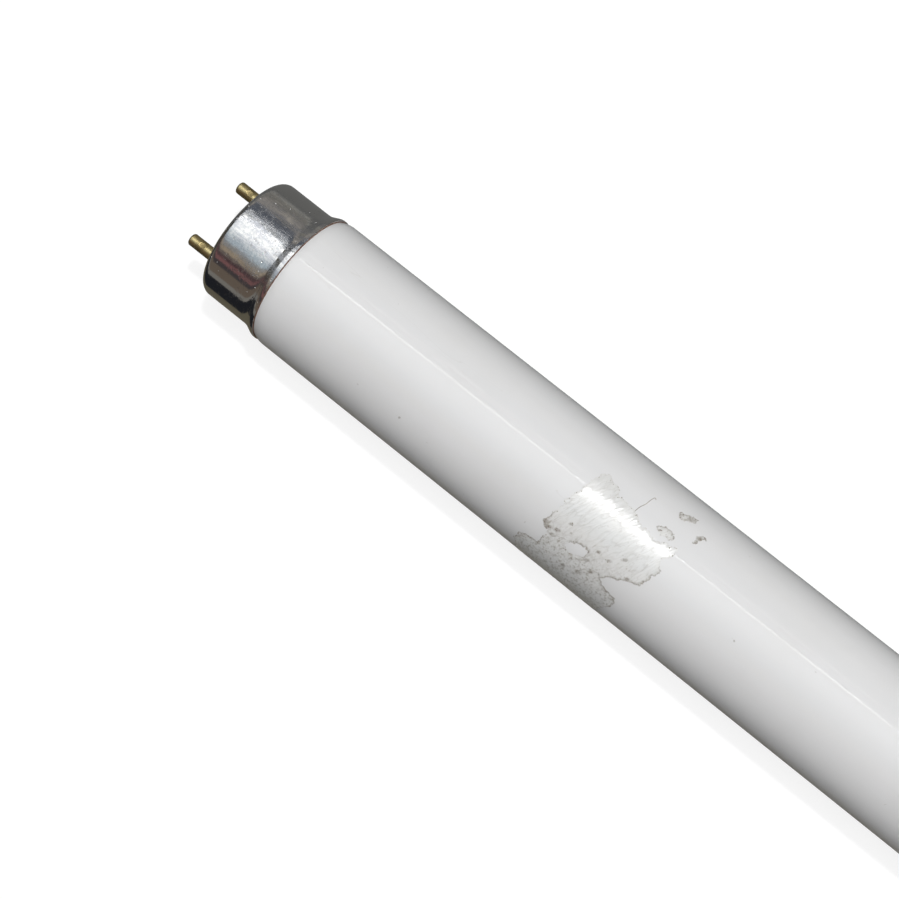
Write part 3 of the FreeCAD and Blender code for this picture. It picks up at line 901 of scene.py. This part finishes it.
def film_grid():
    """Grid of points over the film, as two arrays: along X and round the glass."""
    points = [on_glass(pixel) for outline in (FILM_OUTLINE, *FILM_BITS) for pixel in outline]
    lines = []
    for values in ([point.x for point in points], [point.y for point in points]):
        lines.append(np.arange(min(values) - FILM_BORDER, max(values) + FILM_BORDER, FILM_CELL))
    return np.meshgrid(*lines, indexing="ij")


def noise_grid(along, around, length, width, seed, turn=0.0, basis="PERLIN_ORIGINAL"):
    """Noise over a grid, from about -1 to 1, in spots of the given length and width."""
    across = math.cos(turn) * along + math.sin(turn) * around
    beside = math.cos(turn) * around - math.sin(turn) * along
    values = [
        noise.noise((a / length, b / width, seed), noise_basis=basis)
        for a, b in zip(across.ravel().tolist(), beside.ravel().tolist())
    ]
    return np.array(values).reshape(along.shape)


def tear(along, around):
    """The grid's places, moved about as a tear wanders."""
    torn_along = along.copy()
    torn_around = around.copy()
    for number, (size, amount, basis) in enumerate(TEAR_SIZES):
        for places, seed in zip((torn_along, torn_around), TEAR_SEEDS):
            wander = noise_grid(along, around, size, size, seed + number, basis=basis)
            places += amount * (wander - wander.mean())
    return torn_along, torn_around


def film_depth(torn_places):
    """How far inside the torn edge each point lies."""
    depths = [depth_inside(outline, *torn_places) for outline in (FILM_OUTLINE, *FILM_BITS)]
    return np.minimum(np.maximum.reduce(depths), -depth_inside(FILM_HOLE, *torn_places))


def soil_grid(along, around, torn_places, torn):
    """How much dirt each point of the film holds: in spots, at its edges and in creases."""
    soil = np.zeros(along.shape)
    uneven = noise_grid(along, around, SOIL_GRAIN, SOIL_GRAIN, SOIL_SEED)
    for across, down, reach in SOIL_SPOTS:
        spot = on_glass((across, down))
        length = math.cos(SOIL_LEAN) * (along - spot.x) + math.sin(SOIL_LEAN) * (around - spot.y)
        width = math.cos(SOIL_LEAN) * (around - spot.y) - math.sin(SOIL_LEAN) * (along - spot.x)
        far = np.hypot(length / SOIL_STRETCH, width) / (SOIL_REACH * reach * PIXEL)
        soil = np.maximum(soil, np.exp(-far ** 4) * np.clip(SPOT_COVER + uneven, 0.0, 1.0))
    for line in SOILED_EDGES:
        near = np.exp(-(gap_to_line(line, *torn_places) / SOILED_EDGE_REACH) ** 2)
        soil = np.maximum(soil, near * torn)
    for line in SOILED_CREASES:
        near = np.exp(-(gap_to_line(line, *torn_places) / SOILED_CREASE_REACH) ** 2)
        soil = np.maximum(soil, near * np.clip(CREASE_COVER + uneven, 0.0, 1.0))
    return soil


def on_cylinder(along, around, radius):
    """Wrap grid points round the tube's axis at the given radius."""
    angle = around / GLASS_R
    return np.stack((along, radius * np.sin(angle), radius * np.cos(angle)), axis=-1)


def film_skin(kept, top, bottom):
    """Faces of a closed sheet over the kept cells of a grid, from vertex numbers of both sides."""
    faces = []
    rows, columns = kept.shape
    for i, j in zip(*np.nonzero(kept)):
        ring = ((i, j), (i + 1, j), (i + 1, j + 1), (i, j + 1))
        faces.append(tuple(top[place] for place in ring))
        faces.append(tuple(bottom[place] for place in reversed(ring)))
        beside = ((i, j - 1), (i + 1, j), (i, j + 1), (i - 1, j))
        for (row, column), start, end in zip(beside, ring, ring[1:] + ring[:1]):
            if 0 <= row < rows and 0 <= column < columns and kept[row, column]:
                continue
            faces.append((top[start], bottom[start], bottom[end], top[end]))
    return faces


def film_ridges(along, around):
    """Sharp wrinkles that run round the glass, from 0 to 1."""
    wave = noise_grid(along, around, WRINKLE_LENGTH, WRINKLE_WIDTH, WRINKLE_SEED, WRINKLE_LEAN)
    return np.clip(1.0 - np.abs(wave) * WRINKLE_SHARPNESS, 0.0, 1.0) ** 2


def film_cells(in_film):
    """Grid cells with film at all four corners, and which points they use and surround."""
    kept = in_film[:-1, :-1] & in_film[1:, :-1] & in_film[:-1, 1:] & in_film[1:, 1:]
    used = np.zeros(in_film.shape, bool)
    inner = np.ones(in_film.shape, bool)
    for row, column in ((0, 0), (1, 0), (0, 1), (1, 1)):
        corner = (slice(row, used.shape[0] - 1 + row), slice(column, used.shape[1] - 1 + column))
        used[corner] |= kept
        inner[corner] &= kept
    return kept, used, inner


def add_layer(mesh, name, kind, field, values):
    """Let both sides of the film carry values at their points."""
    layer = mesh.attributes.new(name, kind, "POINT")
    layer.data.foreach_set(field, np.concatenate((values, values)).astype(np.float32).ravel())


def make_film(material):
    """Torn remains of a film: wrinkled, drawn thin along the tear, closed underneath."""
    along, around = film_grid()
    torn_places = tear(along, around)
    depth = film_depth(torn_places)
    ridges = film_ridges(along, around)
    puckers = noise_grid(along, around, PUCKER_LENGTH, PUCKER_WIDTH, PUCKER_SEED, PUCKER_LEAN)
    kept, used, inner = film_cells(depth > 0)
    height = FILM_THICKNESS * (1.0 + PUCKER_SHARE * puckers) + WRINKLE_HEIGHT * ridges
    height = np.where(inner, height, FILM_LIP)
    slope_along, slope_around = np.gradient(depth, FILM_CELL)
    pull = np.where(inner, 0.0, np.clip(depth, 0.0, FILM_CELL))
    moved_along = along - pull * slope_along
    moved_around = around - pull * slope_around
    upper = on_cylinder(moved_along, moved_around, GLASS_R + height)
    lower = on_cylinder(moved_along, moved_around, GLASS_R - FILM_BASE)
    straight_out = on_cylinder(0.0 * along, moved_around, 1.0)
    facing = np.cross(np.gradient(upper, axis=0), np.gradient(upper, axis=1))
    facing = facing / np.linalg.norm(facing, axis=-1, keepdims=True)
    facing = np.where(inner[..., None], facing, straight_out)
    count = int(used.sum())
    top = np.full(used.shape, -1)
    top[used] = np.arange(count)
    bottom = np.where(used, top + count, -1)
    points = np.concatenate((upper[used], lower[used]))
    mesh = new_mesh("label_residue", points.tolist(), film_skin(kept, top, bottom))
    torn = np.where(inner, np.exp(-np.clip(depth, 0.0, None) / FILM_EDGE_WIDTH), 1.0)
    soil = soil_grid(along, around, torn_places, torn)
    for name, values in (("torn_edge", torn), ("crease", ridges), ("soil", soil)):
        add_layer(mesh, name, "FLOAT", "value", values[used])
    flat = np.stack((along, around, 0.0 * along), axis=-1)
    add_layer(mesh, "flat_place", "FLOAT_VECTOR", "vector", flat[used])
    mesh.shade_smooth()
    normals = np.concatenate((facing[used], -straight_out[used]))
    mesh.normals_split_custom_set_from_vertices(normals.tolist())
    mesh.materials.append(material)
    return add_piece("label_residue", mesh)


def make_crumbs(film, material):
    return run_tree("residue_crumbs", film.data.copy(), make_crumb_tree(), {
        "Crumbs per area": CRUMBS_PER_AREA, "Smallest": CRUMB_SMALLEST, "Largest": CRUMB_LARGEST,
        "Seed": CRUMB_SEED, "Material": material,
    })


def make_thread(material):
    """A thin string of glue that runs off from the film."""
    places = [on_glass(pixel) for pixel in THREAD_PATH]
    points = [on_cylinder(place.x, place.y, GLASS_R + THREAD_LIFT).tolist() for place in places]
    path = new_path("thread_path", points)
    return run_tree("glue_thread", path, make_thread_tree(), {"Radius": THREAD_R, "Material": material})


# Studio

def seen_gate(tree):
    """1 for what the camera sees, directly or in glass and metal, and 0 for what lights the object."""
    ray = add(tree, "ShaderNodeLightPath").outputs
    shiny = larger(tree, ray["Is Glossy Ray"], ray["Is Transmission Ray"])
    return larger(tree, ray["Is Camera Ray"], shiny)


def make_floor():
    """Pale floor under the tube, seen as white, that keeps the tube's shadow and glows more further out."""
    side = FLOOR_SIDE / 2
    corners = [(x, y, -GLASS_R) for x, y in ((-side, -side), (side, -side), (side, side), (-side, side))]
    floor = add_piece("floor", new_mesh("floor", corners, [(0, 1, 2, 3)]))
    material = bpy.data.materials.new("pale floor")
    tree = empty_tree(material)
    matt = add(tree, "ShaderNodeBsdfDiffuse", {"Color": (FLOOR_ALBEDO, FLOOR_ALBEDO, FLOOR_ALBEDO, 1.0)})
    spread = object_vector(tree, scale=FLOOR_GLOW_NARROWING)
    far = add(tree, "ShaderNodeVectorMath", {0: spread}, operation="LENGTH").outputs["Value"]
    strength = product(tree, seen_gate(tree), rescale(tree, far, *FLOOR_GLOW_RISE, FLOOR_GLOW, 1.0))
    glow = add(tree, "ShaderNodeEmission", {"Color": (*WHITE, 1.0), "Strength": strength})
    both = add(tree, "ShaderNodeAddShader", {0: matt.outputs[0], 1: glow.outputs[0]})
    add(tree, "ShaderNodeOutputMaterial", {"Surface": both.outputs[0]})
    floor.data.materials.append(material)


def make_world():
    world = bpy.data.worlds.new("pale room")
    bpy.context.scene.world = world
    tree = empty_tree(world)
    strength = rescale(tree, seen_gate(tree), 0.0, 1.0, SKY_STRENGTH, 1.0)
    sky = add(tree, "ShaderNodeBackground", {"Color": (*WHITE, 1.0), "Strength": strength})
    add(tree, "ShaderNodeOutputWorld", {"Surface": sky.outputs[0]})


def add_card(name, points, faces, colour):
    """A studio card that shows only in gloss."""
    card = add_piece(name, new_mesh(name, points, faces))
    material = bpy.data.materials.new(name)
    tree = empty_tree(material)
    glow = add(tree, "ShaderNodeEmission", {"Color": (*colour, 1.0), "Strength": 1.0})
    add(tree, "ShaderNodeOutputMaterial", {"Surface": glow.outputs[0]})
    card.data.materials.append(material)
    card.visible_camera = False
    card.visible_diffuse = False
    card.visible_transmission = False
    card.visible_shadow = False


def make_cards():
    for name, low, high, colour in RING_CARDS:
        angles = [math.radians(low + (high - low) * step / RING_STEPS) for step in range(RING_STEPS + 1)]
        points = [
            (end * RING_REACH, RING_R * math.sin(angle), RING_R * math.cos(angle))
            for angle in angles for end in (-1, 1)
        ]
        faces = [(2 * step, 2 * step + 1, 2 * step + 3, 2 * step + 2) for step in range(RING_STEPS)]
        add_card(name, points, faces, colour)
    height = FLOOR_CARD_LIFT - GLASS_R
    for name, low, high, colour in FLOOR_CARDS:
        points = [(-RING_REACH, low, height), (RING_REACH, low, height),
                  (RING_REACH, high, height), (-RING_REACH, high, height)]
        add_card(name, points, [(0, 1, 2, 3)], colour)
    for name, end in (("end_card_left", -1), ("end_card_right", 1)):
        x = end * RING_REACH
        points = [(x, -RING_R, height), (x, RING_R, height), (x, RING_R, RING_R), (x, -RING_R, RING_R)]
        add_card(name, points, [(0, 1, 2, 3)], END_CARD_COLOUR)


def add_lamp(name, shape, size, place, power):
    """An area lamp that faces the photographed end of the tube."""
    light = bpy.data.lights.new(name, "AREA")
    light.shape = shape
    light.size = size
    light.energy = power
    lamp = bpy.data.objects.new(name, light)
    bpy.context.scene.collection.objects.link(lamp)
    lamp.location = place
    aim = Vector((CAMERA_AIM.x, 0.0, 0.0)) - Vector(place)
    lamp.rotation_euler = aim.to_track_quat("-Z", "Y").to_euler()
    lamp.visible_camera = False
    return lamp


def make_lights():
    add_lamp("lamp_above", "DISK", LAMP_DISC, LAMP_PLACE, LAMP_POWER)
    soft = add_lamp("lamp_soft", "SQUARE", SOFT_SIDE, SOFT_PLACE, SOFT_POWER)
    back = add_lamp("lamp_back", "SQUARE", FILL_SIDE, BACK_PLACE, BACK_POWER)
    front = add_lamp("lamp_front", "SQUARE", FILL_SIDE, FRONT_PLACE, FRONT_POWER)
    for lamp in (soft, back, front):
        lamp.visible_glossy = False


def make_camera():
    right, down, forward = camera_axes()
    data = bpy.data.cameras.new("camera")
    data.sensor_width = SENSOR_WIDTH
    data.lens = FOCAL_PIXELS * SENSOR_WIDTH / PHOTO_SIDE
    data.clip_start = CAMERA_NEAR
    camera = bpy.data.objects.new("camera", data)
    bpy.context.scene.collection.objects.link(camera)
    turn = Matrix((right, -down, -forward)).transposed()
    camera.matrix_world = Matrix.Translation(CAMERA_PLACE) @ turn.to_4x4()
    bpy.context.scene.camera = camera


def dress_nodes(materials):
    """Give each carried-over CAD node the material of its slot."""
    for node in frame["nodes"].values():
        slot = node.material_slots[0].name.split(".")[0]
        if slot in materials:
            node.material_slots[0].material = materials[slot]


def make_materials():
    groups = {"smudges": make_smudge_group(), "scratches": make_scratch_group(), "specks": make_speck_group()}
    return {
        "glass": make_glass_material(groups),
        "cap": make_cap_material(groups),
        "pin": make_pin_material(groups),
        "plate": make_plate_material(groups),
        "cement": make_cement_material(groups),
        "wire": make_wire_material(groups),
        "film": make_film_material(groups),
        "grime": make_grime_material(groups),
    }


def make_pieces(materials):
    glass = make_glass(materials["glass"])
    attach(glass, "root")
    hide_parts("glass_tube")
    film = make_film(materials["film"])
    crumbs = make_crumbs(film, materials["grime"])
    thread = make_thread(materials["grime"])
    for piece in (film, crumbs, thread):
        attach(piece, "root")


clear_scene()
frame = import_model()
bpy.context.scene.view_settings.view_transform = "Standard"
finishes = make_materials()
dress_nodes(finishes)
make_pieces(finishes)
make_floor()
make_world()
make_cards()
make_lights()
make_camera()
